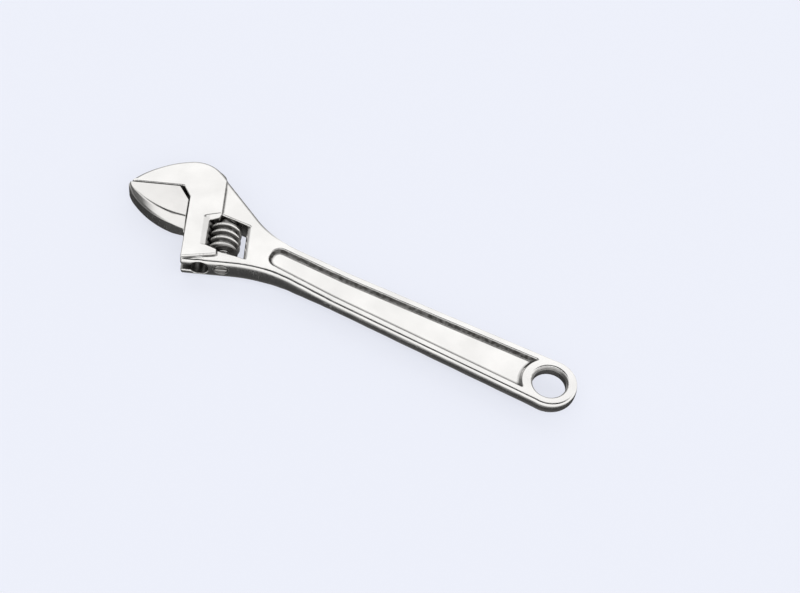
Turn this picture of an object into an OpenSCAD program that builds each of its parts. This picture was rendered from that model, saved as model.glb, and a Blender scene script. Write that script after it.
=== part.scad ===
// Adjustable wrench, 200 mm class: one forged body with a fixed jaw, a sliding jaw with a
// round toothed rack, and a knurled screw that turns on a pin inside the head's window.
// Origin: middle of the hanging hole. +X: along the handle to the jaws. +Y: the way the
// sliding jaw opens, apart from the jaw angle. +Z: out of the flat face.
// Head shapes are drawn in a frame of their own, at the inner end of the fixed jaw's face:
// s runs along the jaw faces to their tips and w runs the way the sliding jaw opens.

/* [Handle] */
// Outer radius of the ring at the tail
ring_radius = 11; // [10.6:0.1:11.6]
// Diameter of the hanging hole
hole_diameter = 13.3; // [12:0.1:14]
// Width of the chamfer around the hanging hole
hole_chamfer = 0.9; // [0.4:0.1:1.2]
// Depth of the chamfer around the hanging hole
hole_chamfer_depth = 0.6; // [0.3:0.1:1]
// Thickness of the handle and the ring
handle_thickness = 5.1; // [4.8:0.1:5.6]
// Half of the handle's width where it is narrowest, at the neck
waist_half_width = 8; // [7.8:0.05:8.2]
// Chamfer along the handle's long edges
edge_chamfer = 1; // [0.4:0.1:1.1]
// Depth of the recess in each face of the handle
recess_depth = 1.5; // [0.8:0.1:1.7]
// Width of the flat rim beside the recess
rim_width = 2.3; // [2:0.1:2.8]
// Distance from the hanging hole to the recess's head end
recess_end_x = 123.3; // [118:0.1:125]

/* [Head] */
// Angle between the jaw faces and the handle
jaw_angle = 23.25; // [22.5:0.25:23.5]
// Distance along the handle from the hanging hole to the throat
throat_x = 168; // [167:0.1:169]
// Offset of the throat from the handle's middle line, towards the fixed jaw
throat_offset = 14.05; // [13.8:0.05:14.3]
// Thickness of the neck
neck_thickness = 8.8; // [8.4:0.1:9.2]
// Thickness of the ground head and of both jaws
head_thickness = 10.7; // [10.4:0.1:11]
// Distance from the throat to the end of the head where the sliding jaw leaves it
head_length = 38; // [37:0.1:39]
// Width of the ground head behind its front face
pad_width = 13.7; // [13.2:0.1:14]

/* [Jaws] */
// Length of the jaws, from the head's front face to the tip
jaw_reach = 24.4; // [23:0.1:25]
// Travel of the sliding jaw, which is the widest opening
opening = 24; // [20:1:24]
// Gap between the closed jaws
jaw_gap = 0.25; // [0.15:0.05:0.4]
// Width of the bevel along the fixed jaw's back
fixed_bevel = 1.2; // [0.8:0.1:2.4]
// Depth of the bevel along the fixed jaw's back
fixed_bevel_depth = 1; // [0.6:0.1:1.8]
// Depth of the bevel along the sliding jaw's back
slide_bevel_depth = 2; // [1.5:0.1:3]

/* [Rack and screw] */
// Radius of the round rack behind the sliding jaw
rack_radius = 3.5; // [3.3:0.1:3.6]
// Clearance around the rack
rack_clearance = 0.1; // [0.08:0.01:0.15]
// Thickness of the web that joins the sliding jaw to its rack
web_thickness = 3.2; // [2.8:0.1:3.4]
// Distance from the head's front face to the rack's axis
rack_inset = 7.6; // [7.5:0.05:7.7]
// Distance from the head's front face to the screw's axis
knurl_inset = 16.4; // [16.35:0.05:16.5]
// Outer radius of the screw's thread
knurl_radius = 6.5; // [6.4:0.1:6.6]
// Root radius of the screw's thread
knurl_root_radius = 4.9; // [4.7:0.1:5]
// Length of the screw
knurl_length = 12.9; // [12:0.1:13]
// Pitch of the screw's thread and of the rack's teeth
thread_pitch = 3.35; // [3.2:0.05:3.5]
// Hand of the thread: left or right
thread_hand = -1; // [-1, 1]
// Diameter of the pin that the screw turns on
pin_diameter = 3.1; // [3:0.05:3.2]

/* [Hidden] */
$fn = 96;
STEEL = [0.80, 0.79, 0.77];
DARK_STEEL = [0.55, 0.54, 0.52];
TALL = 20; // taller than the head, for shapes that cut right through
OVER = 0.01; // how far a cutting shape passes a face that it only meets

handle_half = handle_thickness / 2;
neck_half = neck_thickness / 2;
head_half = head_thickness / 2;
ramp_start_x = 92;
ramp_end_x = 122;
waist_x = 116;
root_half_width = ring_radius - 0.1;
chamfer_start_x = 2;
neck_arc_radius = 41.2;
front_corner = 0.6;
under_pad = [[-8, -3], [-2, 6], [-2, 30], [0, 34]]; // edge of the neck's plate under the pad
belly_arc_radius = 60;

// The fixed jaw's back is two arcs: a long one to the tip and a short one to the neck
jaw_back_centre = [-5.39, 24.48];
jaw_back_radius = 39.2;
jaw_heel_centre = [-0.99, -0.77];
jaw_heel_radius = 13.55;
jaw_heel_end_angle = 272;
jaw_back_angles = [278, 317];
jaw_tip_w = -1.4;
jaw_tip_share = 0.4; // how much of the bevel's width reaches the tip
neck_slope = 30.8;

// Where the neck's straight edge meets the pad's step
heel_angle = 270 - neck_slope - jaw_angle;
heel_point = jaw_heel_centre + jaw_heel_radius * [cos(heel_angle), sin(heel_angle)];
step_w = heel_point[1] + (heel_point[0] + pad_width) * tan(neck_slope + jaw_angle);

// The sliding jaw's back: one arc at mid thickness and one at the flat face
slide_back_centre = [-7.26, -16.73];
slide_back_radius = 37.85;
slide_face_centre = [-6.91, -26.35];
slide_face_radius = 42.92;
slide_nose_w = 2.4;
slide_nose_reach = 1.5;
slide_nose_face_w = 2;
slide_face_reach = 0.65;
slide_chamfer_s = 4.6;
slide_chamfer_w = 7.2;
throat_flank_s = 3.1;
throat_flank_w = 5.37;

// Window for the screw
window_handle_s = -24.9;
window_head_s = -9.2;
window_handle_lip = 1.7;
window_head_lip = 2.3;
window_handle_lip_z = 2.2;
window_head_lip_z = 3.2;
window_plan = [
    [-27.5, 18.1], [-14.4, 13.1], [-12.8, 13.1], [-6.2, 15.2],
    [-6.2, 29.5], [-9.1, 29.5], [-14, 31.4], [-22.8, 33.6], [-27.5, 34.9]
];
pad_low_w = 33.9;
pad_front_w = 36.6;
lip_rise = 1.5; // how far past the face the window's slanted sides are drawn

// Screw, pin and spring, along w
knurl_start_w = 16.7;
knurl_end_w = knurl_start_w + knurl_length;
crest_w = 21.31;
seat_low_w = 13.2;
seat_high_w = 32.6;
seat_radius = 3.2;
hub_radius = 2.9;
hub_gap = 0.25;
pin_radius = pin_diameter / 2;
pin_clearance = 0.05;
bore_radius = pin_radius + pin_clearance;
pin_tip_w = 9.6;
pin_bore_end_w = 9.2;
pin_head_radius = 2.5;
pin_head_w = 34.6;
pin_head_recess = 0.4;
pin_slot_width = 0.8;
pin_slot_depth = 1;
spring_coil_radius = 2.2;
spring_wire = 0.6;
spring_turns = 5.5;
spring_pocket_radius = 2.75;
spring_pocket_depth = 3;
spring_gap = 0.1;

// Thread and rack teeth
crest_half = 0.55;
flank_angle = 20;
mesh_clearance = 0.2;
mesh_depth = 0.7; // from the thread's crest to where it drives the teeth
tip_clearance = 0.25; // between the thread's crest and the foot of a tooth gap
gap_depth = 2.2;
rack_start_w = 0.6;
rack_end_w = 28;
channel_start_w = 0.2;
slot_clearance = 0.15;
slot_half = web_thickness / 2 + slot_clearance;
web_inner_s = -3.5;
web_outer_s = 1; // inside the sliding jaw, past the head's front face
slot_top_w = 6.2;
web_jaw_end_w = 21;
web_end_s = -3;
tooth_root = knurl_inset - knurl_radius - tip_clearance;
lead_angle = atan(thread_pitch / (2 * PI * (knurl_radius - mesh_depth)));

// Points of an arc from angle a0 to a1 in n steps
function arc(c, r, a0, a1, n) =
    [for (i = [0 : n]) let (a = a0 + (a1 - a0) * i / n) c + r * [cos(a), sin(a)]];

// A point of the head's frame in the part's frame
function to_part(p) = [
    throat_x + p[0] * cos(jaw_angle) - p[1] * sin(jaw_angle),
    -throat_offset + p[0] * sin(jaw_angle) + p[1] * cos(jaw_angle)
];

// Half of the handle's width at a distance x from the hanging hole: a straight taper, which
// starts a little inside the ring so that the two outlines cross cleanly
function handle_half_width(x) =
    root_half_width + (waist_half_width - root_half_width) * x / waist_x;

// Where the head's far end would meet the handle's straight edge
end_line_x = throat_x - head_length * sin(jaw_angle)
    - (-throat_offset + head_length * cos(jaw_angle) - waist_half_width) / tan(jaw_angle);
belly_run = belly_arc_radius * tan(jaw_angle / 2);
belly_centre = [end_line_x - belly_run, waist_half_width + belly_arc_radius];
belly_start_x = end_line_x - belly_run;

module head_frame() {
    translate([throat_x, -throat_offset, 0])
        rotate([0, 0, jaw_angle])
            children();
}

// Plan of the handle and the neck, which runs on under the pad to the head's end
module body_plan() {
    polygon(concat(
        [[0, -root_half_width]],
        arc([waist_x, -waist_half_width - neck_arc_radius], neck_arc_radius, 90, 90 - neck_slope, 8),
        [for (p = concat([[-pad_width, step_w]], under_pad,
                         [[0, head_length - front_corner], [-front_corner, head_length]])) to_part(p)],
        arc(belly_centre, belly_arc_radius, jaw_angle - 90, -90, 8),
        [[0, root_half_width]]
    ));
}

// Side view from which the handle and the neck take their thickness
module side_profile(half_handle, half_neck) {
    rotate([90, 0, 0])
        linear_extrude(4 * TALL, center = true)
            polygon([
                [-TALL, -half_handle], [ramp_start_x, -half_handle], [ramp_end_x, -half_neck],
                [throat_x + 2 * TALL, -half_neck], [throat_x + 2 * TALL, half_neck],
                [ramp_end_x, half_neck], [ramp_start_x, half_handle], [-TALL, half_handle]
            ]);
}

// Plan of the fixed jaw down to the pad's step, with its back moved in by inset
module fixed_jaw_plan(inset) {
    polygon(concat(
        [[-pad_width, 0], [-pad_width, step_w + inset / cos(neck_slope + jaw_angle)]],
        arc(jaw_heel_centre, jaw_heel_radius - inset, heel_angle, jaw_heel_end_angle, 10),
        arc(jaw_back_centre, jaw_back_radius - inset, jaw_back_angles[0], jaw_back_angles[1], 10),
        [[jaw_reach, jaw_tip_w + jaw_tip_share * inset], [jaw_reach, 0]]
    ));
}

// Fixed jaw with the bevel along its back
module fixed_jaw() {
    hull() {
        linear_extrude(head_thickness - 2 * fixed_bevel_depth, center = true)
            fixed_jaw_plan(0);
        linear_extrude(head_thickness, center = true)
            fixed_jaw_plan(fixed_bevel);
    }
}

// Ground pad of the head beside the slide
module head_pad() {
    linear_extrude(head_thickness, center = true)
        polygon([
            [-pad_width, -1], [throat_flank_s, -1], [throat_flank_s, 0], [0, throat_flank_w],
            [0, pad_front_w], [-pad_width, pad_low_w]
        ]);
}

// Ring at the tail, with chamfered rims
module ring() {
    rotate_extrude()
        polygon([
            [0, -handle_half], [ring_radius - edge_chamfer, -handle_half],
            [ring_radius, edge_chamfer - handle_half], [ring_radius, handle_half - edge_chamfer],
            [ring_radius - edge_chamfer, handle_half], [0, handle_half]
        ]);
}

// Everything that the hanging hole and its chamfers take away
module hanging_hole() {
    cylinder(d = hole_diameter, h = TALL, center = true);
    for (side = [0, 1])
        mirror([0, 0, side])
            rotate_extrude()
                polygon([
                    [0, handle_half - hole_chamfer_depth],
                    [hole_diameter / 2, handle_half - hole_chamfer_depth],
                    [hole_diameter / 2 + hole_chamfer, handle_half],
                    [hole_diameter / 2 + hole_chamfer, handle_half + 1],
                    [0, handle_half + 1]
                ]);
}

// One square bar along a handle edge, turned so that it takes off the chamfer
module edge_bar(a, b, half) {
    run = norm(b - a);
    translate([a[0], a[1], half])
        rotate([0, 0, atan2(b[1] - a[1], b[0] - a[0])])
            rotate([45, 0, 0])
                translate([0, -edge_chamfer / sqrt(2), -edge_chamfer / sqrt(2)])
                    cube([run, edge_chamfer * sqrt(2), edge_chamfer * sqrt(2)]);
}

// Chamfers along the handle's four long edges, up to the ramp
module handle_chamfers() {
    for (turn = [0, 1], side = [0, 1])
        mirror([0, 0, turn])
            mirror([0, side, 0])
                edge_bar([chamfer_start_x, handle_half_width(chamfer_start_x)],
                         [ramp_start_x, handle_half_width(ramp_start_x)], handle_half);
}

// Recess in both faces: straight along the rims, hollow around the ring, round at the head
module recess() {
    corner = 4;
    ring_gap = 0.2;
    start_r = ring_radius + ring_gap;
    half = function (x) handle_half_width(x) - edge_chamfer - rim_width;
    start_a = asin(half(start_r) / start_r);
    end_half = half(recess_end_x);
    difference() {
        linear_extrude(TALL, center = true)
            polygon(concat(
                arc([0, 0], start_r, start_a, -start_a, 10),
                arc([recess_end_x - corner, corner - end_half], corner, -90, 0, 6),
                arc([recess_end_x - corner, end_half - corner], corner, 0, 90, 6)
            ));
        side_profile(handle_half - recess_depth, neck_half - recess_depth);
    }
}

// Window for the screw: slanted ends, and long sides that open outwards for the thumb
module window() {
    handle_top_s = window_handle_s - window_handle_lip * lip_rise;
    head_top_s = window_head_s + window_head_lip * lip_rise;
    handle_top_z = window_handle_lip_z + (neck_half - window_handle_lip_z) * lip_rise;
    head_top_z = window_head_lip_z + (head_half - window_head_lip_z) * lip_rise;
    intersection() {
        linear_extrude(TALL, center = true)
            polygon(window_plan);
        rotate([90, 0, 0])
            linear_extrude(6 * TALL, center = true)
                polygon([
                    [window_handle_s, -window_handle_lip_z], [handle_top_s, -handle_top_z],
                    [handle_top_s, -TALL], [head_top_s, -TALL], [head_top_s, -head_top_z],
                    [window_head_s, -window_head_lip_z], [window_head_s, window_head_lip_z],
                    [head_top_s, head_top_z], [head_top_s, TALL], [handle_top_s, TALL],
                    [handle_top_s, handle_top_z], [window_handle_s, window_handle_lip_z]
                ]);
    }
}

// A cylinder along w, from one w to another, on the axis at a given s
module along_w(s, r, from, to) {
    translate([s, from, 0])
        rotate([-90, 0, 0])
            cylinder(r = r, h = to - from);
}

// Round channel for the rack, and the slot through which its web leaves the head
module slide_channel() {
    along_w(-rack_inset, rack_radius + rack_clearance, channel_start_w, head_length + 1);
    linear_extrude(2 * slot_half, center = true)
        polygon([
            [-rack_inset, channel_start_w], [web_inner_s, channel_start_w], [web_outer_s, slot_top_w],
            [web_outer_s, head_length + 1], [-rack_inset, head_length + 1]
        ]);
}

// Bores for the screw's pin, with the flat seats for the screw and its spring
module pin_bores() {
    along_w(-knurl_inset, bore_radius, pin_bore_end_w, head_length + 1);
    along_w(-knurl_inset, pin_head_radius + pin_clearance, pin_head_w, head_length + 1);
    along_w(-knurl_inset, seat_radius, seat_low_w, knurl_start_w);
    along_w(-knurl_inset, seat_radius, knurl_end_w, seat_high_w);
}

module body() {
    color(STEEL)
        difference() {
            union() {
                intersection() {
                    linear_extrude(TALL, center = true)
                        body_plan();
                    side_profile(handle_half, neck_half);
                }
                ring();
                head_frame() {
                    fixed_jaw();
                    head_pad();
                }
            }
            hanging_hole();
            handle_chamfers();
            recess();
            head_frame() {
                window();
                slide_channel();
                pin_bores();
            }
        }
}

// Plan of the sliding jaw, closed by an arc at its back
module sliding_jaw_plan(c, r, tip_w, reach) {
    foot_a = acos((jaw_gap - c[0]) / r);
    tip_a = asin((tip_w - c[1]) / r);
    polygon(concat(
        [[slide_chamfer_s, jaw_gap], [jaw_gap, slide_chamfer_w]],
        arc(c, r, foot_a, tip_a, 12),
        [[jaw_reach + reach, tip_w / 2], [jaw_reach + reach, jaw_gap]]
    ));
}

// Gaps between the rack's teeth, cut at the thread's lead angle and in mesh with the screw
module rack_gaps() {
    gap_root = crest_half + mesh_clearance - tip_clearance * tan(flank_angle);
    gap_top = gap_root + gap_depth * tan(flank_angle);
    first = ceil((rack_start_w - gap_root - crest_w) / thread_pitch);
    last = floor((rack_end_w + gap_root - crest_w) / thread_pitch);
    for (k = [first : last])
        translate([-tooth_root, crest_w + k * thread_pitch, 0])
            rotate([thread_hand * lead_angle, 0, 0])
                linear_extrude(TALL, center = true)
                    polygon([
                        [0, -gap_root], [0, gap_root],
                        [-gap_depth, gap_top], [-gap_depth, -gap_top]
                    ]);
}

module movable_jaw() {
    color(STEEL)
        head_frame() {
            hull() {
                linear_extrude(head_thickness - 2 * slide_bevel_depth, center = true)
                    sliding_jaw_plan(slide_back_centre, slide_back_radius,
                                     slide_nose_w, slide_nose_reach);
                linear_extrude(head_thickness, center = true)
                    sliding_jaw_plan(slide_face_centre, slide_face_radius,
                                     slide_nose_face_w, slide_face_reach);
            }
            difference() {
                union() {
                    along_w(-rack_inset, rack_radius, rack_start_w, rack_end_w);
                    linear_extrude(web_thickness, center = true)
                        polygon([
                            [-rack_inset, rack_start_w],
                            [web_inner_s, rack_start_w + mesh_clearance],
                            [web_outer_s, slide_chamfer_w], [web_outer_s, web_jaw_end_w],
                            [web_end_s, rack_end_w], [-rack_inset, rack_end_w]
                        ]);
                }
                rack_gaps();
            }
        }
}

// Thread of the screw: a four-sided section swept along a helix, longer than the screw
module thread() {
    steps = 24;
    start = (crest_w - knurl_start_w) % thread_pitch - thread_pitch;
    turns = (knurl_length + thread_pitch / 2 - start) / thread_pitch;
    sink = 0.4; // how far the thread's section reaches into the core
    inner = knurl_root_radius - sink;
    inner_half = crest_half + (knurl_radius - inner) * tan(flank_angle);
    section = [[inner, -inner_half], [knurl_radius, -crest_half],
               [knurl_radius, crest_half], [inner, inner_half]];
    rings = ceil(turns * steps);
    points = [for (i = [0 : rings])
        let (a = thread_hand * 360 * i / steps, z = start + thread_pitch * i / steps)
        for (p = section) [p[0] * cos(a), p[0] * sin(a), z + p[1]]];
    sides = [for (i = [0 : rings - 1], j = [0 : 3])
        let (k = (j + 1) % 4, here = 4 * i, next = 4 * i + 4)
        thread_hand > 0 ? [here + j, here + k, next + k, next + j]
                        : [here + j, next + j, next + k, here + k]];
    first = thread_hand > 0 ? [3, 2, 1, 0] : [0, 1, 2, 3];
    last = [for (j = [0 : 3]) 4 * rings + (thread_hand > 0 ? j : 3 - j)];
    polyhedron(points, concat([first], sides, [last]), convexity = 8);
}

module knurl() {
    bevel = 0.5;
    color(DARK_STEEL)
        head_frame()
            translate([-knurl_inset, knurl_start_w, 0])
                rotate([-90, 0, 0])
                    difference() {
                        union() {
                            cylinder(r = knurl_root_radius, h = knurl_length);
                            translate([0, 0, seat_low_w + hub_gap - knurl_start_w])
                                cylinder(r = hub_radius, h = knurl_start_w - seat_low_w);
                            intersection() {
                                thread();
                                rotate_extrude()
                                    polygon([
                                        [0, 0], [knurl_radius - bevel, 0],
                                        [knurl_radius + OVER, bevel],
                                        [knurl_radius + OVER, knurl_length - bevel],
                                        [knurl_radius - bevel, knurl_length], [0, knurl_length]
                                    ]);
                            }
                        }
                        cylinder(r = bore_radius, h = 2 * TALL, center = true);
                        translate([0, 0, knurl_length - spring_pocket_depth])
                            cylinder(r = spring_pocket_radius, h = spring_pocket_depth + 1);
                    }
}

module knurl_pin() {
    head_top_w = head_length - pin_head_recess;
    color(DARK_STEEL)
        head_frame()
            difference() {
                union() {
                    along_w(-knurl_inset, pin_radius, pin_tip_w, pin_head_w + 1);
                    along_w(-knurl_inset, pin_head_radius, pin_head_w, head_top_w);
                }
                translate([-knurl_inset, head_top_w, 0])
                    cube([2 * pin_head_radius + 1, 2 * pin_slot_depth, pin_slot_width], center = true);
            }
}

// Coil spring: a round wire swept along a helix
module knurl_spring() {
    steps = 16;
    sides = 8;
    wire = spring_wire / 2;
    low = knurl_end_w - spring_pocket_depth + spring_gap + wire;
    high = seat_high_w - wire;
    rings = floor(spring_turns * steps);
    points = [for (i = [0 : rings])
        let (a = 360 * i / steps, z = low + (high - low) * i / rings)
        for (j = [0 : sides - 1])
            let (b = 360 * j / sides, r = spring_coil_radius + wire * cos(b))
            [r * cos(a), r * sin(a), z + wire * sin(b)]];
    walls = [for (i = [0 : rings - 1], j = [0 : sides - 1])
        let (k = (j + 1) % sides, here = sides * i, next = sides * (i + 1))
        [here + j, here + k, next + k, next + j]];
    first = [for (j = [sides - 1 : -1 : 0]) j];
    last = [for (j = [0 : sides - 1]) sides * rings + j];
    color(DARK_STEEL)
        head_frame()
            translate([-knurl_inset, 0, 0])
                rotate([-90, 0, 0])
                    polyhedron(points, concat([first], walls, [last]), convexity = 8);
}

body();
movable_jaw();
knurl();
knurl_pin();
knurl_spring();
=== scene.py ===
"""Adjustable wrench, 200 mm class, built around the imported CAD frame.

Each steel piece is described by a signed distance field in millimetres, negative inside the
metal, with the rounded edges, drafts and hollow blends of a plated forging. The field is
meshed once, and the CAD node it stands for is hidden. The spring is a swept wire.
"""
import math

import bpy
import numpy as np
from mathutils import Matrix, Vector


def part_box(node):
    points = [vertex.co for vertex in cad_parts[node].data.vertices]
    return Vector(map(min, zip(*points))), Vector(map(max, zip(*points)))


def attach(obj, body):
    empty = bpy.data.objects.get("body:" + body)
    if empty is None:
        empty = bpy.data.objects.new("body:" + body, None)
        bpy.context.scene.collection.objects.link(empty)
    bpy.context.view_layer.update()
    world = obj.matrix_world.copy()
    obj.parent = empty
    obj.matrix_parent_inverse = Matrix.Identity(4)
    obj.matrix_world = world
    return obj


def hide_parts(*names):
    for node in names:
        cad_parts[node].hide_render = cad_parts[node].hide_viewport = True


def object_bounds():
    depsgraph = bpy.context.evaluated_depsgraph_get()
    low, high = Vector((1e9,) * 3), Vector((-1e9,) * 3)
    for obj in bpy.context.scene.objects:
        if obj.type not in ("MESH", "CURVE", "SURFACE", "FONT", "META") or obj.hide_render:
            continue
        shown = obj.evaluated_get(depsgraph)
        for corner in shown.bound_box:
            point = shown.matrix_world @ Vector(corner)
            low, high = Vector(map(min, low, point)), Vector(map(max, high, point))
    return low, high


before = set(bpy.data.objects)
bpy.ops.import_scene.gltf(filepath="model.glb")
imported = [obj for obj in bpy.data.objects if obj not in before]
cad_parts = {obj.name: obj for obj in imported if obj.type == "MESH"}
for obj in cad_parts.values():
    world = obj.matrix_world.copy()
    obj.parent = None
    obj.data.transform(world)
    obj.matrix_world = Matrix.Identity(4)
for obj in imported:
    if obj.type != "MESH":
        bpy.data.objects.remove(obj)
cad_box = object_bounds()

MM = 0.001
FAR = 400.0   # mm, beyond every part

# Handle, mm: x runs along it from the hanging hole, z is its thickness
RING_RADIUS = 11.0
HOLE_RADIUS = 6.65
HOLE_CHAMFER = (0.9, 0.9)
HANDLE_HALF = 2.75
ROOT_HALF_WIDTH = 10.9
WAIST_HALF_WIDTH = 8.0
WAIST_X = 116.0
RAMP_X = (92.0, 122.0)
RECESS_END_X = 123.3
RECESS_RIM = 3.05
RECESS_RING = 10.7
RECESS_CORNER = 4.0
RECESS_DEPTH = 1.5
RECESS_WALL = (1.3, 0.35)
EDGE_CROWN = (0.8, 0.35)
EDGE_FLANK = (0.28, 2.0)
CROWN_ROUND, FLANK_ROUND = (0.32, 0.5), 0.3
CROWN_X = (35.0, 80.0)
WALL_DRAFT = 0.02

# Head, mm: s runs along the jaw faces from the throat, w the way the sliding jaw opens
JAW_ANGLE = math.radians(23.25)
THROAT = (168.0, -14.05)
NECK_HALF = 4.4
HEAD_HALF = 5.35
HEAD_LENGTH = 38.0
PAD_WIDTH = 13.7
PAD_LOW_W = 33.9
PAD_FRONT_W = 36.6
STEP_RUN, LOW_STEP_RUN = 0.8, 0.4
NECK_ARC = 41.2
NECK_SLOPE = math.radians(30.8)
BELLY_ARC = 60.0
JAW_REACH = 24.4
HEEL_CENTRE, HEEL_RADIUS = (-0.99, -0.77), 13.55
BACK_CENTRE, BACK_RADIUS = (-5.39, 24.48), 39.2
BACK_ARC = (math.radians(278), math.radians(317))
HEEL_END = math.radians(272)
THROAT_FLANK = (3.1, 5.37)
FIXED_BEVEL = (1.2, 1.0)
HEAD_ROUND = 0.5
CUT_ROUND = 0.3

# Sliding jaw and its rack, mm
JAW_GAP = 0.25
SLIDE_CENTRE, SLIDE_RADIUS = (-7.26, -16.73), 37.85
SLIDE_FACE_CENTRE, SLIDE_FACE_RADIUS = (-6.91, -26.35), 42.92
SLIDE_BEVEL = (2.9, 2.0)
SLIDE_BEVEL_S = (0.0, 6.0)
SLIDE_CHAMFER = (4.6, 7.2)
NOSE_S = (25.9, 25.05)
NOSE_CORNER = ((0.0, 1.2), (-0.5, 2.4))
RACK_S, RACK_RADIUS = -7.6, 3.5
RACK_W = (0.6, 28.0)
CHANNEL_RADIUS, CHANNEL_START = 3.6, 0.2
WEB_HALF, SLOT_HALF = 1.6, 1.75

# Screw, pin and spring, mm
SCREW_S = -16.4
SCREW_W = (16.7, 29.6)
THREAD_RADIUS, THREAD_ROOT = 6.5, 4.9
SCREW_BEVEL = 0.9
CREST_TOP = 0.3
NOTCHES, NOTCH_DEPTH = 56, 0.14
PITCH = 3.35
HAND = -1
CREST_W, CREST_HALF = 21.31, 0.55
FLANK = math.radians(20)
MESH_CLEARANCE = 0.2
LEAD = math.atan(PITCH / (2 * math.pi * (THREAD_RADIUS - 0.7)))
TOOTH_ROOT = 9.65
SEAT_W, SEAT_RADIUS = (13.2, 32.6), 3.2
HUB_RADIUS, HUB_W = 2.9, 13.45
BORE_RADIUS = 1.6
PIN_RADIUS = 1.55
PIN_W = (9.6, 34.6, 37.6)
PIN_BORE_END = 9.2
PIN_HEAD_RADIUS = 2.5
PIN_CHAMFER = 0.5
PIN_SLOT = (0.8, 1.0)
POCKET_RADIUS, POCKET_DEPTH = 2.75, 3.0
SPRING_RADIUS, SPRING_WIRE, SPRING_TURNS = 2.2, 0.3, 5.5

# Window for the screw, mm
WINDOW_S = (-24.9, -9.2)
WINDOW_LIP = (1.7, 2.3)
WINDOW_LIP_Z = (3.2, 4.2)
WINDOW_SHELF, WINDOW_SHELF_S = (1.5, 1.5), -14.2
WINDOW_PLAN = [(-27.5, 18.1), (-14.4, 13.1), (-12.8, 13.1), (-6.2, 15.2), (-6.2, 29.5),
               (-9.1, 29.5), (-14.0, 31.4), (-22.8, 33.6), (-27.5, 34.9)]

# Size of the field's grid cells, mm
BODY_STEP, JAW_STEP, SCREW_STEP, PIN_STEP = 0.386, 0.26, 0.17, 0.15

# How dark the painted shade is at each place, 0 to 1
SHADE_STRENGTH = {"channel": 0.8, "window": 0.3, "face": 0.8, "bore": 0.6, "step": 0.85, "lip": 0.2,
        "far_wall": 1.0, "near_wall": 0.3, "rim": 0.9, "rack": 0.85, "front": 0.6, "thread": 0.75}

# Camera: direction it looks from, roll, the place it aims at and its distance, mm
CAMERA_AZIMUTH = math.radians(109.452)
CAMERA_ELEVATION, CAMERA_ROLL = math.radians(52.993), math.radians(8.361)
CAMERA_AIM, CAMERA_DISTANCE = (69.54, -9.90, 0.0), 659.26
SENSOR_WIDTH, LENS = 36.0, 74.02

# Floor: half its side in metres, the gap under the wrench in mm, its colour and its glow
FLOOR_HALF, FLOOR_GAP = 6.0, 0.05
FLOOR_COLOUR, FLOOR_GLOW = (0.22, 0.225, 0.245, 1), (0.643, 0.661, 0.728, 1)

# Studio, as (position, level) stops. Boxes run from behind over the top towards the camera,
# sides and ends run across the view, and low and high run from straight down to straight up.
BOXES = [(0.0, 0.4), (0.12, 0.99), (0.365, 0.99), (0.385, 0.02), (0.5, 0.02),
         (0.525, 1.0), (0.8, 1.0), (1.0, 0.9)]
SIDES = [(0.0, 0.15), (0.07, 0.15), (0.2, 1.0), (1.0, 1.0)]
ENDS = [(0.0, 1.0), (0.24, 1.0), (0.31, 0.0), (0.69, 0.0), (0.76, 1.0), (1.0, 1.0)]
LOW = [(0.0, 0.14), (0.07, 0.05), (0.145, 0.045), (0.21, 0.85), (0.5, 0.9), (0.6, 0.0)]
HIGH = [(0.5, 0.0), (0.6, 1.0)]
STUDIO_STRENGTH = 1.16


# ---------------------------------------------------------------- fields

def arc(centre, radius, start, end, steps=24):
    """Points of an arc, angles in radians."""
    angles = np.linspace(start, end, steps)
    return [(centre[0] + radius * math.cos(a), centre[1] + radius * math.sin(a)) for a in angles]


def to_head(x, y):
    """s and w of a place in the part's frame."""
    cosine, sine = math.cos(JAW_ANGLE), math.sin(JAW_ANGLE)
    dx, dy = x - THROAT[0], y - THROAT[1]
    return dx * cosine + dy * sine, dy * cosine - dx * sine


def from_head(s, w):
    """Place in the part's frame of a point s, w."""
    cosine, sine = math.cos(JAW_ANGLE), math.sin(JAW_ANGLE)
    return THROAT[0] + s * cosine - w * sine, THROAT[1] + s * sine + w * cosine


def outline(points, x, y):
    """Signed distance to a closed outline, negative inside."""
    nearest = np.full(np.broadcast(x, y).shape, 1e9)
    inside = np.zeros(nearest.shape, bool)
    for (ax, ay), (bx, by) in zip(points, points[1:] + points[:1]):
        ex, ey = bx - ax, by - ay
        px, py = x - ax, y - ay
        t = np.clip((px * ex + py * ey) / (ex * ex + ey * ey), 0, 1)
        nearest = np.minimum(nearest, (px - ex * t) ** 2 + (py - ey * t) ** 2)
        if ey:
            inside ^= ((ay > y) != (by > y)) & (px < py * ex / ey)
    return np.where(inside, -1, 1) * np.sqrt(nearest)


def half_plane(a, b, x, y):
    """Signed distance to the line from a to b, negative on its left."""
    run = math.hypot(b[0] - a[0], b[1] - a[1])
    return ((x - a[0]) * (b[1] - a[1]) - (y - a[1]) * (b[0] - a[0])) / run


def both(a, b, r=0.0):
    """What is in a and in b, with the edge between them rounded by r."""
    rounded = np.hypot(np.maximum(a + r, 0), np.maximum(b + r, 0))
    return np.minimum(np.maximum(a, b), -r) + rounded


def either(a, b, r=0.0):
    """What is in a or in b, with a hollow blend of radius r."""
    return -both(-a, -b, r)


def cut(a, b, r=CUT_ROUND):
    """a without b, with the new edges rounded by r."""
    return both(a, -b, r)


def ease(t):
    """Smooth step from 0 to 1."""
    t = np.clip(t, 0, 1)
    return t * t * (3 - 2 * t)


def grid(low, high, step):
    """Sparse x, y, z grid in mm that covers a box with one step to spare."""
    axes = [np.arange(a - 1.4 * step, b + 2.6 * step, step) for a, b in zip(low, high)]
    return np.meshgrid(*axes, indexing="ij", sparse=True)


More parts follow.
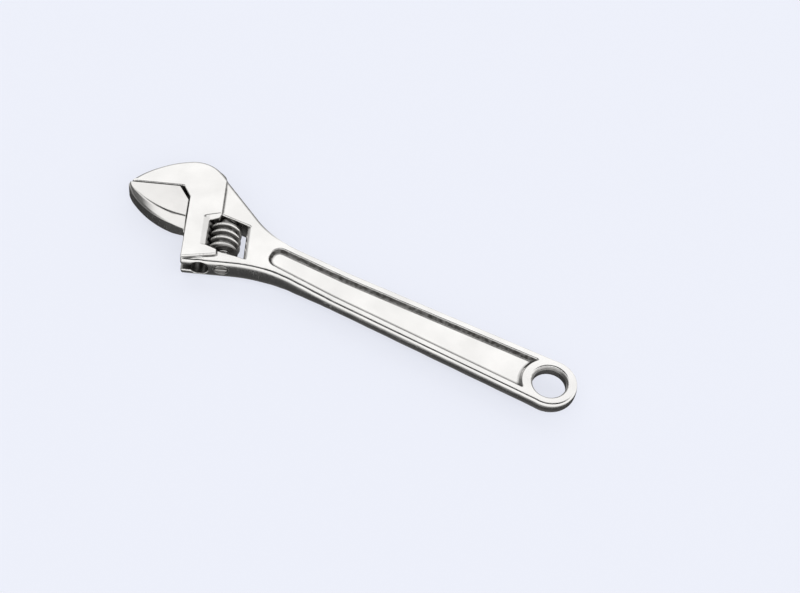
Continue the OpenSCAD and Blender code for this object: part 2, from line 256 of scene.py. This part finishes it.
def tube(s, w, z, axis_s, radius, start, end):
    """Round bar along w."""
    return both(np.hypot(s - axis_s, z) - radius, both(start - w, w - end))


# ---------------------------------------------------------------- body

def handle_half_width(x):
    """Half of the handle's width, which narrows evenly from the ring to the waist."""
    return ROOT_HALF_WIDTH + (WAIST_HALF_WIDTH - ROOT_HALF_WIDTH) * x / WAIST_X


def heel_arc():
    """Points of the arc between the neck and the fixed jaw's back."""
    start = math.radians(270) - NECK_SLOPE - JAW_ANGLE
    return arc(HEEL_CENTRE, HEEL_RADIUS, start, HEEL_END)


def body_outline():
    """Outline of the forging from above: handle, neck, fixed jaw, throat, front and belly."""
    jaw = heel_arc() + arc(BACK_CENTRE, BACK_RADIUS, *BACK_ARC)
    jaw += [(JAW_REACH, -1.4), (JAW_REACH, 0.0), (THROAT_FLANK[0], 0.0), (0.0, THROAT_FLANK[1])]
    jaw += [(0.0, HEAD_LENGTH - 0.6), (-0.6, HEAD_LENGTH)]
    corner = from_head(0, HEAD_LENGTH)
    belly_run = BELLY_ARC * math.tan(JAW_ANGLE / 2)
    meet_x = corner[0] - (corner[1] - WAIST_HALF_WIDTH) / math.tan(JAW_ANGLE)
    belly_centre = (meet_x - belly_run, WAIST_HALF_WIDTH + BELLY_ARC)
    quarter = math.pi / 2
    neck = arc((WAIST_X, -WAIST_HALF_WIDTH - NECK_ARC), NECK_ARC, quarter, quarter - NECK_SLOPE)
    belly = arc(belly_centre, BELLY_ARC, JAW_ANGLE - quarter, -quarter)
    return ([(0.0, -ROOT_HALF_WIDTH)] + neck + [from_head(*p) for p in jaw] + belly
            + [(0.0, ROOT_HALF_WIDTH)])


def recess_outline():
    """Outline of the handle's recess at its top edge."""
    half = handle_half_width(RECESS_RING) - RECESS_RIM
    start = math.asin(half / RECESS_RING)
    end_half = handle_half_width(RECESS_END_X) - RECESS_RIM
    corner_x, corner_y = RECESS_END_X - RECESS_CORNER, end_half - RECESS_CORNER
    quarter = math.pi / 2
    return (arc((0, 0), RECESS_RING, start, -start)
            + arc((corner_x, -corner_y), RECESS_CORNER, -quarter, 0, 12)
            + arc((corner_x, corner_y), RECESS_CORNER, 0, quarter, 12))


def body_height(x, y, s, w):
    """Half of the body's thickness, and 0 to 1 for how far a place is past the ground pad."""
    neck = np.interp(x, RAMP_X, (HANDLE_HALF, NECK_HALF)) + 0 * y
    low_edge = half_plane((-PAD_WIDTH, PAD_LOW_W), (0, PAD_FRONT_W), s, w)
    beyond_pad = both((-PAD_WIDTH - s) / STEP_RUN, -low_edge / LOW_STEP_RUN, 0.6)
    away = np.clip(beyond_pad, 0, 1)
    pad = (HEAD_HALF - NECK_HALF) * (1 - away) ** 2
    run, foot = RECESS_WALL
    inward = -outline(recess_outline(), x, y)
    fall = RECESS_DEPTH / run
    recess = np.clip(inward * fall, 0, RECESS_DEPTH)
    blend = np.clip((inward - run + foot) / (2 * foot), 0, 1)
    recess = np.where(abs(inward - run) < foot, RECESS_DEPTH - fall * foot * (1 - blend) ** 2, recess)
    return neck + pad - recess, away


def window_field(s, w, z):
    """The screw's window: sides that open outwards for the thumb, and a sloping shelf by the rack."""
    run, fall = WINDOW_SHELF
    shelf = run * ease((s - WINDOW_SHELF_S) / 1.2) * np.clip((HEAD_HALF - abs(z)) / fall, 0, 1)
    plan = outline(WINDOW_PLAN, s, w) + shelf * (w < SCREW_W[0] + 3)
    lip_low, lip_high = [
        lip / (half - lip_z) for lip, lip_z, half in
        zip(WINDOW_LIP, WINDOW_LIP_Z, (NECK_HALF, HEAD_HALF))]
    low = WINDOW_S[0] - lip_low * np.maximum(abs(z) - WINDOW_LIP_Z[0], 0)
    high = WINDOW_S[1] + lip_high * np.maximum(abs(z) - WINDOW_LIP_Z[1], 0)
    sides = np.maximum(low - s, s - high) / math.hypot(1, 0.7)
    return both(plan, sides, 0.6)


def head_cuts(body, s, w, z):
    """The body with its window, rack channel, web slot and pin bores."""
    body = cut(body, window_field(s, w, z), 0.4)
    body = cut(body, tube(s, w, z, RACK_S, CHANNEL_RADIUS, CHANNEL_START, FAR))
    slot_plan = [(RACK_S, CHANNEL_START), (-3.5, CHANNEL_START), (1.0, 6.2), (1.0, FAR), (RACK_S, FAR)]
    body = cut(body, both(outline(slot_plan, s, w), abs(z) - SLOT_HALF))
    for radius, start, end in (
        (BORE_RADIUS, PIN_BORE_END, FAR), (PIN_HEAD_RADIUS + 0.05, PIN_W[1], FAR),
        (SEAT_RADIUS, SEAT_W[0], SCREW_W[0]), (SEAT_RADIUS, SCREW_W[1], SEAT_W[1])):
        body = cut(body, tube(s, w, z, SCREW_S, radius, start, end), 0.15)
    return body


def body_field(x, y, z):
    """The whole forging, with its edges, bevel, hole and cuts."""
    s, w = to_head(x, y)
    plan = np.minimum(outline(body_outline(), x, y), np.hypot(x, y) - RING_RADIUS)
    height, away = body_height(x, y, s, w)
    slope = np.gradient(height[:, :, 0], x[1, 0, 0] - x[0, 0, 0])
    steep = np.sqrt(1 + slope[0] ** 2 + slope[1] ** 2)[:, :, None]
    draft = WALL_DRAFT * np.interp(x, (140, 150), (1, 0))
    wall, face = plan + draft * abs(z), (abs(z) - height) / steep
    crown, flank = [
        (plan * fall + face * run + run * fall) / math.hypot(run, fall)
        for run, fall in (EDGE_CROWN, EDGE_FLANK)]
    top = both(face, crown, np.interp(x, CROWN_X, CROWN_ROUND))
    rim = both(both(top, flank, FLANK_ROUND), wall, 0.1)
    body = both(wall, face, HEAD_ROUND)
    body = body + (rim - body) * away * np.interp(x, (130, 150), (1, 0.85))
    # bevel along the fixed jaw's back, which fades out into the neck
    back = jaw_back_line() + [(FAR, FAR)]
    depth_run = math.hypot(*FIXED_BEVEL)
    bevel = ((outline(back, s, w) - np.interp(s, (14, 24), (0, 0.7))) * FIXED_BEVEL[1]
             + (abs(z) - HEAD_HALF + FIXED_BEVEL[1]) * FIXED_BEVEL[0]) / depth_run
    body = both(body, bevel - 0.45 * np.maximum(-PAD_WIDTH + 3 - s, 0), 0.7)
    hole = HOLE_RADIUS - np.hypot(x, y)
    chamfer_run, chamfer_depth = HOLE_CHAMFER
    chamfer = (hole * chamfer_depth + (abs(z) - HANDLE_HALF + chamfer_depth) * chamfer_run)
    body = both(body, hole, 0.2)
    body = both(body, chamfer / math.hypot(*HOLE_CHAMFER), 0.3)
    return head_cuts(body, s, w, z)


def jaw_back_line():
    """The fixed jaw's back edge, run on past the neck and the tip."""
    heel = heel_arc()
    slope = NECK_SLOPE + JAW_ANGLE
    before = (heel[0][0] - FAR * math.cos(slope), heel[0][1] + FAR * math.sin(slope))
    return [before] + heel + arc(BACK_CENTRE, BACK_RADIUS, BACK_ARC[0], BACK_ARC[1] + 0.3)


# ---------------------------------------------------------------- sliding jaw

def rack_gap_field(s, w, z):
    """Gaps between the rack's teeth, at the thread's lead angle."""
    across = (w - CREST_W) * math.cos(HAND * LEAD) + z * math.sin(HAND * LEAD)
    pitch = PITCH * math.cos(LEAD)
    across = abs(across - pitch * np.round(across / pitch))
    depth = -TOOTH_ROOT - s
    root = CREST_HALF + MESH_CLEARANCE - 0.25 * math.tan(FLANK)
    gap = (across - root - depth * math.tan(FLANK)) * math.cos(FLANK)
    return both(gap, -depth, 0.25)


def movable_jaw_field(x, y, z):
    """The sliding jaw with its bevel, web and round rack."""
    s, w = to_head(x, y)
    mid = np.hypot(s - SLIDE_CENTRE[0], w - SLIDE_CENTRE[1]) - SLIDE_RADIUS
    face = np.hypot(s - SLIDE_FACE_CENTRE[0], w - SLIDE_FACE_CENTRE[1]) - SLIDE_FACE_RADIUS
    depth = np.interp(s, SLIDE_BEVEL_S, SLIDE_BEVEL)
    up = (abs(z) - HEAD_HALF + depth) / depth
    bevel = ((1 - up) * mid + up * face) / np.sqrt(1 + ((face - mid) / depth) ** 2)
    back = both(mid, bevel, np.interp(s, (3, 20), (0.3, 0.6)))
    past_nose = s - NOSE_S[0] + (NOSE_S[0] - NOSE_S[1]) * np.clip(up, 0, 1)
    nose = both(past_nose, half_plane(*NOSE_CORNER, past_nose, w), 0.4)
    chamfer = half_plane((JAW_GAP, SLIDE_CHAMFER[1]), (SLIDE_CHAMFER[0], JAW_GAP), s, w)
    front = both(both(JAW_GAP - w, JAW_GAP - s, 0.1), chamfer, 0.2)
    plan = both(both(back, nose, 0.5), front, 0.25)
    jaw = both(plan, abs(z) - HEAD_HALF, 0.4)
    rack = tube(s, w, z, RACK_S, RACK_RADIUS, *RACK_W)
    web_plan = [(RACK_S, RACK_W[0]), (-3.5, RACK_W[0] + 0.2), (1.0, SLIDE_CHAMFER[1]),
                (1.0, 21.0), (-3.0, RACK_W[1]), (RACK_S, RACK_W[1])]
    rack = either(rack, both(outline(web_plan, s, w), abs(z) - WEB_HALF, 0.1))
    return either(jaw, cut(rack, rack_gap_field(s, w, z), 0.2))


# ---------------------------------------------------------------- screw and pin

def knurl_field(x, y, z):
    """The screw: threaded and notched barrel, hub, bore and spring pocket."""
    s, w = to_head(x, y)
    radius = np.hypot(s - SCREW_S, z)
    turn = np.arctan2(-z, s - SCREW_S) / (2 * math.pi)
    along = w - CREST_W - HAND * PITCH * turn
    along = abs(along - PITCH * np.round(along / PITCH))
    rise = THREAD_RADIUS - radius
    flank = (along - CREST_TOP - rise * math.tan(FLANK)) * math.cos(FLANK) * math.cos(LEAD)
    notch = NOTCH_DEPTH / 2 * (1 + np.cos(turn * 2 * math.pi * NOTCHES))
    thread = both(flank, radius - THREAD_RADIUS + notch, 0.25)
    ends = both(SCREW_W[0] - w, w - SCREW_W[1])
    bevel = (radius - THREAD_RADIUS + SCREW_BEVEL + ends) / math.sqrt(2)
    core = either(radius - THREAD_ROOT, thread, 0.35)
    screw = both(both(core, ends, 0.15), bevel, 0.15)
    hub = tube(s, w, z, SCREW_S, HUB_RADIUS, HUB_W, SCREW_W[0] + 1)
    screw = either(screw, hub)
    screw = cut(screw, radius - BORE_RADIUS, 0.1)
    return cut(screw, tube(s, w, z, SCREW_S, POCKET_RADIUS, SCREW_W[1] - POCKET_DEPTH, FAR), 0.1)


def pin_field(x, y, z):
    """The screw's pin: shank with a chamfered end, and a slotted head."""
    s, w = to_head(x, y)
    radius = np.hypot(s - SCREW_S, z)
    shank = both(tube(s, w, z, SCREW_S, PIN_RADIUS, PIN_W[0], PIN_W[1] + 1),
                 radius - PIN_RADIUS - w + PIN_W[0] + PIN_CHAMFER)
    head = both(radius - PIN_HEAD_RADIUS, both(PIN_W[1] - w, w - PIN_W[2]), 0.25)
    slot = both(abs(z) - PIN_SLOT[0] / 2, PIN_W[2] - PIN_SLOT[1] - w)
    return cut(either(shank, head), slot, 0.08)


# ---------------------------------------------------------------- meshing

def sample(field, at):
    """Trilinear values of a grid at fractional indices."""
    base = np.clip(np.floor(at).astype(int), 0, np.array(field.shape) - 2)
    t = at - base
    value = 0
    for i in (0, 1):
        for j in (0, 1):
            for k in (0, 1):
                weight = (abs(1 - i - t[:, 0]) * abs(1 - j - t[:, 1]) * abs(1 - k - t[:, 2]))
                value = value + weight * field[base[:, 0] + i, base[:, 1] + j, base[:, 2] + k]
    return value


def surface(field):
    """Vertices, in grid steps, and quads of the field's zero surface, by surface nets."""
    inside = field < 0
    core = inside[:-1, :-1, :-1]
    mixed = np.zeros(core.shape, bool)
    corners = [(i, j, k) for i in (0, 1) for j in (0, 1) for k in (0, 1)]
    shape = np.array(field.shape) - 1
    for i, j, k in corners:
        mixed |= inside[i:i + shape[0], j:j + shape[1], k:k + shape[2]] != core
    cells = np.argwhere(mixed)
    number = np.full(core.shape, -1)
    number[mixed] = np.arange(len(cells))
    total, count = np.zeros((len(cells), 3)), np.zeros(len(cells))
    for axis in range(3):
        for start in corners:
            if start[axis]:
                continue
            a_at = cells + start
            b_at = a_at + np.eye(3, dtype=int)[axis]
            a, b = field[tuple(a_at.T)], field[tuple(b_at.T)]
            hit = (a < 0) != (b < 0)
            t = np.where(hit, a / np.where(hit, a - b, 1), 0)
            point = np.array(start, float) + t[:, None] * np.eye(3)[axis]
            total += point * hit[:, None]
            count += hit
    vertices = cells + total / count[:, None]
    quads = []
    for axis in range(3):
        u, v = (axis + 1) % 3, (axis + 2) % 3
        low = [slice(1, -1)] * 3
        high = [slice(1, -1)] * 3
        low[axis], high[axis] = slice(0, -1), slice(1, None)
        change = inside[tuple(low)] != inside[tuple(high)]
        at = np.argwhere(change)
        at[:, u] += 1
        at[:, v] += 1
        step_u, step_v = np.eye(3, dtype=int)[u], np.eye(3, dtype=int)[v]
        ring = [number[tuple((at - d).T)] for d in (step_u + step_v, step_v, 0 * step_u, step_u)]
        loop = np.stack(ring, 1)
        outward = inside[tuple(at.T)]
        loop[~outward] = loop[~outward][:, ::-1]
        quads.append(loop)
    return vertices, np.concatenate(quads)


def body_painted_shade(x, y, z):
    """Painted shade on the body: bores, channel, window and recess walls, rim, jaw face, pad step and
    window lips.
    """
    s, w = to_head(x, y)
    channel = np.hypot(s - RACK_S, z) < CHANNEL_RADIUS + 0.15
    slot = (abs(z) < SLOT_HALF + 0.1) & (s > RACK_S) & (s < 1)
    seats = np.hypot(s - SCREW_S, z) < SEAT_RADIUS + 0.1
    walls = abs(outline(WINDOW_PLAN, s, w)) < 0.6
    # Painted shade along the fixed jaw's face, at the gap to the sliding jaw
    face = (abs(w) < 0.35) & (s > THROAT_FLANK[0]) & (abs(z) < HEAD_HALF - 0.08)
    bore = np.hypot(x, y) < HOLE_RADIUS + HOLE_CHAMFER[0] - 0.1
    away = body_height(x, y, s, w)[1]
    step = (away > 0.15) & (away < 0.8) & (abs(z) > NECK_HALF - 0.05)
    inward = -outline(recess_outline(), x, y)
    # Painted shade down the recess walls, strongest on the far side and at the neck end
    recess = ease(inward / 0.2) * ease((RECESS_WALL[0] + 0.3 - inward) / 0.4)
    recess = recess * np.where((y < -2) | (x > 119), SHADE_STRENGTH["far_wall"], SHADE_STRENGTH["near_wall"])
    plan = np.minimum(outline(body_outline(), x, y), np.hypot(x, y) - RING_RADIUS)
    outside = (y < 0) & ~((s > -1.5) & (w > -1.6))
    # Painted shade in a band just inside the outer edge on the far side, from the neck on
    rim = SHADE_STRENGTH["rim"] * ease((plan + 1.3) / 0.6) * ease((x - 120) / 15) * outside
    inside = (w > 0) & (s > WINDOW_S[0] - 3) & (s < 2)
    lip = inside & (outline(WINDOW_PLAN, s, w) < 0) & (abs(z) > 3) & (s > WINDOW_S[1]) & (s < -7)
    return np.maximum.reduce([
        SHADE_STRENGTH["channel"] * (inside & (channel | slot | seats)),
        SHADE_STRENGTH["window"] * (inside & walls & (abs(z) < NECK_HALF - 0.3)),
        SHADE_STRENGTH["face"] * face, SHADE_STRENGTH["bore"] * bore, SHADE_STRENGTH["step"] * step, recess, rim, SHADE_STRENGTH["lip"] * lip])


def jaw_painted_shade(x, y, z):
    """Painted shade on the sliding jaw: the rack, the web and the faces that rub."""
    s, w = to_head(x, y)
    inner = abs(z) < HEAD_HALF - 0.08
    return np.maximum.reduce([
        SHADE_STRENGTH["rack"] * (s < 0.1), SHADE_STRENGTH["rack"] * ((w < 0.6) & inner), SHADE_STRENGTH["front"] * ((s < 0.5) & inner)])


def screw_painted_shade(x, y, z):
    """Painted shade in the valleys of the screw's thread and on its ends."""
    s = to_head(x, y)[0]
    return SHADE_STRENGTH["thread"] * np.clip((THREAD_RADIUS - 0.1 - np.hypot(s - SCREW_S, z)) / 0.45, 0, 1)


def no_painted_shade(x, y, z):
    """No darkening anywhere."""
    return 0 * x


def mesh_piece(name, field_of, painted_shade_of, node, step, body, material):
    """Meshes a field over a CAD node's box, and lets the piece stand for the node."""
    low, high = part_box(node)
    axes = grid([c / MM for c in low], [c / MM for c in high], step)
    field = np.ascontiguousarray(field_of(*axes) + np.zeros([a.size for a in axes]))
    vertices, quads = surface(field)
    slopes = np.stack([sample(g, vertices) for g in np.gradient(field, step)], 1)
    normals = slopes / np.linalg.norm(slopes, axis=1)[:, None]
    bend = sum(np.gradient(np.gradient(field, step, axis=k), step, axis=k) for k in range(3))
    origin = np.array([a.ravel()[0] for a in axes])
    mesh = bpy.data.meshes.new(name)
    mesh.from_pydata(((origin + vertices * step) * MM).tolist(), [], quads.tolist())
    mesh.shade_smooth()
    mesh.normals_split_custom_set_from_vertices(normals.tolist())
    places = (origin + vertices * step).T
    # Attributes for painted shade: the curvature, whose hollows are darkened, and each piece's own painted
    # shade
    for attribute, values in (("crease_shade", np.clip(sample(bend, vertices), -2, 2)), ("painted_shade", painted_shade_of(*places))):
        layer = mesh.attributes.new(attribute, "FLOAT", "POINT")
        layer.data.foreach_set("value", np.asarray(values, np.float32))
    return place(mesh, name, node, body, material)


def place(mesh, name, node, body, material):
    """Puts a mesh in the scene as a piece that replaces a CAD node."""
    piece = bpy.data.objects.new(name, mesh)
    bpy.context.scene.collection.objects.link(piece)
    mesh.materials.append(material)
    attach(piece, body)
    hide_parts(node)
    return piece


def spring_piece(material):
    """Coil spring: a round wire swept along a helix, with closed end coils."""
    sides, per_turn = 14, 48
    low = SCREW_W[1] - POCKET_DEPTH + 0.1 + SPRING_WIRE
    high = SEAT_W[1] - SPRING_WIRE
    rings = int(SPRING_TURNS * per_turn)
    points, faces = [], []
    for i in range(rings + 1):
        angle = 2 * math.pi * i / per_turn
        along = low + (high - low) * float(ease(np.array(i / rings)) * 0.35 + i / rings * 0.65)
        for j in range(sides):
            b = 2 * math.pi * j / sides
            radius = SPRING_RADIUS + SPRING_WIRE * math.cos(b)
            s, w = SCREW_S + radius * math.cos(angle), along + SPRING_WIRE * math.sin(b)
            x, y = from_head(s, w)
            points.append((x * MM, y * MM, -radius * math.sin(angle) * MM))
    for i in range(rings):
        for j in range(sides):
            k = (j + 1) % sides
            here, after = i * sides, (i + 1) * sides
            faces.append((here + j, here + k, after + k, after + j))
    faces.append(tuple(range(sides - 1, -1, -1)))
    faces.append(tuple(rings * sides + j for j in range(sides)))
    mesh = bpy.data.meshes.new("spring_coil")
    mesh.from_pydata(points, [], faces)
    mesh.shade_smooth()
    return place(mesh, "spring_coil", "knurl_spring", "frame", material)


# ---------------------------------------------------------------- materials

def steel(name, colour, dark, roughness, grain=0.5, brushed=None):
    """Plated or ground steel: mottled plating, fine grain, hairline scratches, and painted shade in concave
    creases and at the places each piece marks.
    """
    material = bpy.data.materials.new(name)
    material.use_nodes = True
    nodes, links = material.node_tree.nodes, material.node_tree.links
    shader = nodes["Principled BSDF"]
    shader.inputs["Metallic"].default_value = 1.0
    place_at = nodes.new("ShaderNodeTexCoord").outputs["Object"]

    def noise(scale, detail, stretch=(1, 1, 1), angle=0.0):
        mapping = nodes.new("ShaderNodeMapping")
        mapping.inputs["Rotation"].default_value = (0, 0, angle)
        mapping.inputs["Scale"].default_value = stretch
        links.new(place_at, mapping.inputs["Vector"])
        texture = nodes.new("ShaderNodeTexNoise")
        texture.inputs["Scale"].default_value = scale
        texture.inputs["Detail"].default_value = detail
        links.new(mapping.outputs["Vector"], texture.inputs["Vector"])
        return texture.outputs["Fac"]

    def remap(value, from_low, from_high, to_low, to_high):
        node = nodes.new("ShaderNodeMapRange")
        for key, number in zip(("From Min", "From Max", "To Min", "To Max"),
                               (from_low, from_high, to_low, to_high)):
            node.inputs[key].default_value = number
        links.new(value, node.inputs["Value"])
        return node.outputs["Result"]

    def math_node(kind, a, b):
        node = nodes.new("ShaderNodeMath")
        node.operation = kind
        for socket, value in zip(node.inputs, (a, b)):
            if isinstance(value, (int, float)):
                socket.default_value = value
            else:
                links.new(value, socket)
        return node.outputs["Value"]

    def mix(factor, a, b):
        node = nodes.new("ShaderNodeMix")
        node.data_type = "RGBA"
        links.new(factor, node.inputs["Factor"])
        for socket, value in ((node.inputs["A"], a), (node.inputs["B"], b)):
            if isinstance(value, tuple):
                socket.default_value = (*value, 1)
            else:
                links.new(value, socket)
        return node.outputs["Result"]

    def attribute(key):
        node = nodes.new("ShaderNodeAttribute")
        node.attribute_name = key
        return node.outputs["Fac"]

    mottling = remap(noise(70, 4), 0.35, 0.65, 0, 1)
    base = mix(mottling, tuple(0.9 * c for c in colour), colour)
    # Painted shade: in concave creases and at the places each piece marks, the colour goes towards the dark
    # colour with a fine mottle, and the surface roughens
    shade_mask = math_node("MAXIMUM", remap(attribute("crease_shade"), -0.15, -1.2, 0, 1), attribute("painted_shade"))
    painted_shade_amount = math_node("MULTIPLY", shade_mask, remap(noise(700, 3), 0.3, 0.6, 0.86, 1.0))
    base = mix(painted_shade_amount, base, dark)
    scratch_a = remap(noise(420, 2, (1, 26, 1), 0.5), 0.66, 0.72, 0, 1)
    scratch_b = remap(noise(380, 2, (30, 1, 1), 0.15), 0.67, 0.73, 0, 1)
    scratches = math_node("MAXIMUM", scratch_a, scratch_b)
    rough = math_node("ADD", remap(noise(160, 5), 0.3, 0.7, roughness * 0.8, roughness * 1.2),
                      math_node("MULTIPLY", scratches, 0.12))
    rough = math_node("ADD", rough, math_node("MULTIPLY", painted_shade_amount, 0.25))
    links.new(rough, shader.inputs["Roughness"])
    links.new(base, shader.inputs["Base Color"])
    height = math_node("ADD", math_node("MULTIPLY", noise(900, 3), grain),
                       math_node("MULTIPLY", scratches, -0.25))
    if brushed is not None:
        lines = noise(900, 3, (0.03, 1.6, 1), brushed)
        height = math_node("ADD", height, math_node("MULTIPLY", lines, 0.7))
    bump = nodes.new("ShaderNodeBump")
    bump.inputs["Strength"].default_value = 0.35
    bump.inputs["Distance"].default_value = 0.00003
    links.new(height, bump.inputs["Height"])
    links.new(bump.outputs["Normal"], shader.inputs["Normal"])
    return material


# ---------------------------------------------------------------- set

def floor_piece():
    """Plain pale floor, just under the wrench."""
    low = cad_box[0]
    half = FLOOR_HALF
    corners = ((-half, -half), (half, -half), (half, half), (-half, half))
    mesh = bpy.data.meshes.new("floor")
    mesh.from_pydata([(x, y, low[2] - FLOOR_GAP * MM) for x, y in corners], [], [(0, 1, 2, 3)])
    floor = bpy.data.objects.new("floor", mesh)
    bpy.context.scene.collection.objects.link(floor)
    material = bpy.data.materials.new("pale_floor")
    material.use_nodes = True
    shader = material.node_tree.nodes["Principled BSDF"]
    shader.inputs["Base Color"].default_value = FLOOR_COLOUR
    shader.inputs["Emission Color"].default_value = FLOOR_GLOW
    shader.inputs["Emission Strength"].default_value = 1.0
    shader.inputs["Roughness"].default_value = 0.9
    shader.inputs["Specular IOR Level"].default_value = 0.1
    mesh.materials.append(material)
    floor.visible_glossy = False


def ramp_node(nodes, stops):
    """Grey ramp through (position, level) stops."""
    ramp = nodes.new("ShaderNodeValToRGB")
    elements = ramp.color_ramp.elements
    for number, (position, level) in enumerate(stops):
        if number < 2:
            element = elements[number]
            element.position = position
        else:
            element = elements.new(position)
        element.color = (level, level, level, 1)
    return ramp


def share_along(nodes, links, direction, axis):
    """How far a direction points along an axis, from -1 to 1."""
    dot = nodes.new("ShaderNodeVectorMath")
    dot.operation = "DOT_PRODUCT"
    dot.inputs[1].default_value = axis
    links.new(direction, dot.inputs[0])
    return dot.outputs["Value"]


def to_unit(nodes, links, value, limit):
    """A value from -limit to limit, brought to 0 to 1."""
    node = nodes.new("ShaderNodeMapRange")
    node.inputs["From Min"].default_value = -limit
    node.inputs["From Max"].default_value = limit
    links.new(value, node.inputs["Value"])
    return node.outputs["Result"]


def combine(nodes, links, kind, *sources):
    """Vector maths on colours."""
    node = nodes.new("ShaderNodeVectorMath")
    node.operation = kind
    for socket, source in zip(node.inputs, sources):
        links.new(source, socket)
    return node.outputs["Vector"]


def studio():
    """Two large soft boxes with a dark gap overhead, bright ends and horizon, and darkness below."""
    world = bpy.data.worlds.new("studio")
    bpy.context.scene.world = world
    world.use_nodes = True
    nodes, links = world.node_tree.nodes, world.node_tree.links

    def graded(stops, value):
        ramp = ramp_node(nodes, stops)
        links.new(value, ramp.inputs["Fac"])
        return ramp.outputs["Color"]

    direction = nodes.new("ShaderNodeTexCoord").outputs["Generated"]
    split = nodes.new("ShaderNodeSeparateXYZ")
    links.new(direction, split.inputs[0])
    cosine, sine = math.cos(CAMERA_AZIMUTH), math.sin(CAMERA_AZIMUTH)
    lean = nodes.new("ShaderNodeMath")
    lean.operation = "ARCTAN2"
    links.new(share_along(nodes, links, direction, (cosine, sine, 0)), lean.inputs[0])
    links.new(split.outputs["Z"], lean.inputs[1])
    turn = to_unit(nodes, links, lean.outputs["Value"], math.pi / 2)
    offset = to_unit(nodes, links, share_along(nodes, links, direction, (-sine, cosine, 0)), 1.0)
    height = to_unit(nodes, links, split.outputs["Z"], 1.0)
    above = combine(nodes, links, "MAXIMUM", graded(BOXES, turn), graded(ENDS, offset))
    around = combine(nodes, links, "MULTIPLY_ADD", above, graded(HIGH, height), graded(LOW, height))
    lit = combine(nodes, links, "MULTIPLY", around, graded(SIDES, offset))
    background = nodes["Background"]
    background.inputs["Strength"].default_value = STUDIO_STRENGTH
    links.new(lit, background.inputs["Color"])


def camera():
    """Camera at the reference view: raised, on the sliding jaw's side, turned a little."""
    azimuth, elevation, roll = CAMERA_AZIMUTH, CAMERA_ELEVATION, CAMERA_ROLL
    aim = Vector(CAMERA_AIM) * MM
    distance = CAMERA_DISTANCE * MM
    back = Vector((math.cos(azimuth) * math.cos(elevation), math.sin(azimuth) * math.cos(elevation),
                   math.sin(elevation)))
    right = Vector((0, 0, 1)).cross(back).normalized()
    up = back.cross(right)
    right, up = (right * math.cos(roll) + up * math.sin(roll),
                 up * math.cos(roll) - right * math.sin(roll))
    data = bpy.data.cameras.new("camera")
    data.sensor_width = SENSOR_WIDTH
    data.lens = LENS
    data.clip_start = 0.01
    view = bpy.data.objects.new("camera", data)
    bpy.context.scene.collection.objects.link(view)
    view.matrix_world = Matrix.Translation(aim + back * distance) @ Matrix(
        (right, up, back)).transposed().to_4x4()
    bpy.context.scene.camera = view


plated = steel("plated_steel", (0.86, 0.85, 0.835), (0.05, 0.048, 0.045), 0.15)
jaw_steel = steel("ground_jaw", (0.77, 0.757, 0.742), (0.05, 0.048, 0.045), 0.18, brushed=JAW_ANGLE)
screw_steel = steel("knurled_steel", (0.92, 0.91, 0.89), (0.04, 0.038, 0.036), 0.2)
pin_steel = steel("pin_steel", (0.70, 0.69, 0.67), (0.06, 0.06, 0.06), 0.33)
wire_steel = steel("spring_wire", (0.80, 0.79, 0.78), (0.06, 0.06, 0.06), 0.25)

mesh_piece("wrench_body", body_field, body_painted_shade, "body", BODY_STEP, "frame", plated)
mesh_piece("sliding_jaw", movable_jaw_field, jaw_painted_shade, "movable_jaw", JAW_STEP,
           "jaw", jaw_steel)
mesh_piece("knurled_screw", knurl_field, screw_painted_shade, "knurl", SCREW_STEP,
           "screw", screw_steel)
mesh_piece("screw_pin", pin_field, no_painted_shade, "knurl_pin", PIN_STEP, "frame", pin_steel)
spring_piece(wire_steel)
floor_piece()
studio()
camera()
bpy.context.scene.view_settings.view_transform = "Standard"
